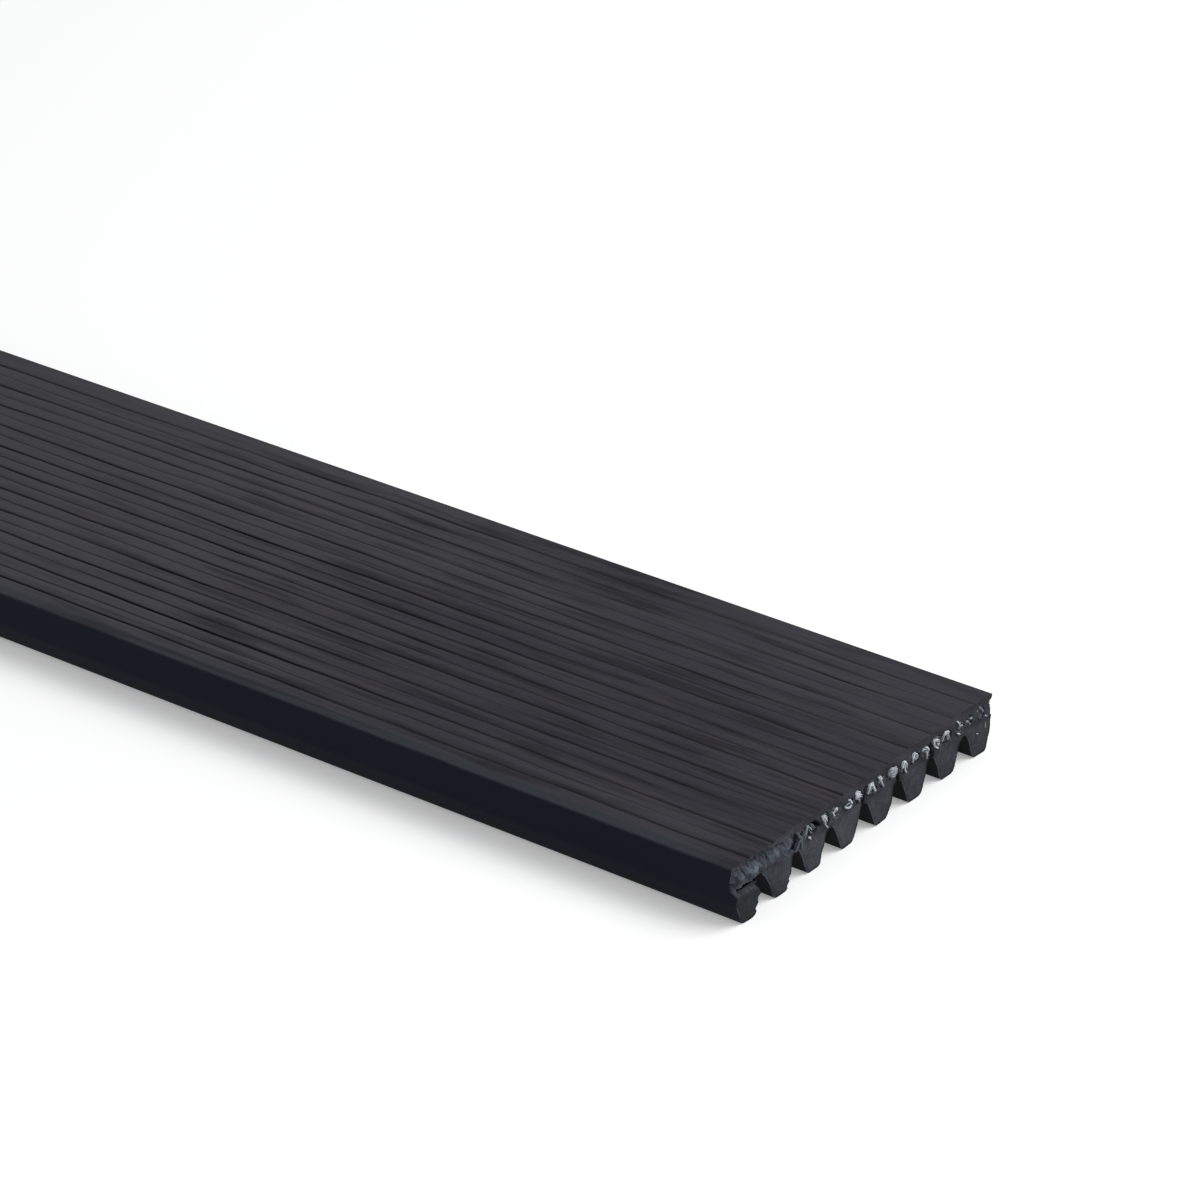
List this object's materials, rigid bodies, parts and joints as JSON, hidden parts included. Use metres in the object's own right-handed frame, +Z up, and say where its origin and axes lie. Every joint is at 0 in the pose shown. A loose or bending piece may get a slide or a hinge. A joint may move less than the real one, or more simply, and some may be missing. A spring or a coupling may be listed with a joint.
{
  "type": "serpentine belt",
  "caption": "Cut length of a black rubber multi-rib drive belt: lengthwise ribs under a finely grooved back, with cord ends at a rough cut end.",
  "frame": {"origin": "on the surface that the rib tips stand on, under the middle of the belt", "axes": "+X along the belt to the hand-cut end, +Y across the belt to its far side, +Z up to the belt's back"},
  "size_m": [0.1, 0.0274, 0.0041],
  "materials": {
    "belt_rubber": "satin black rubber, finely grooved back, matt where it was cut",
    "cord_yarn": "pale blue-grey twisted yarn, frayed at the cut"
  },
  "bodies": {
    "root": {"rubber_body": "belt_rubber", "tensile_cord_01": "cord_yarn", "tensile_cord_02": "cord_yarn", "tensile_cord_03": "cord_yarn", "tensile_cord_04": "cord_yarn", "tensile_cord_05": "cord_yarn", "tensile_cord_06": "cord_yarn", "tensile_cord_07": "cord_yarn", "tensile_cord_08": "cord_yarn", "tensile_cord_09": "cord_yarn", "tensile_cord_10": "cord_yarn", "tensile_cord_11": "cord_yarn", "tensile_cord_12": "cord_yarn", "tensile_cord_13": "cord_yarn", "tensile_cord_14": "cord_yarn", "tensile_cord_15": "cord_yarn", "tensile_cord_16": "cord_yarn", "tensile_cord_17": "cord_yarn", "tensile_cord_18": "cord_yarn", "tensile_cord_19": "cord_yarn", "tensile_cord_20": "cord_yarn", "tensile_cord_21": "cord_yarn", "tensile_cord_22": "cord_yarn"}
  },
  "joints": []
}
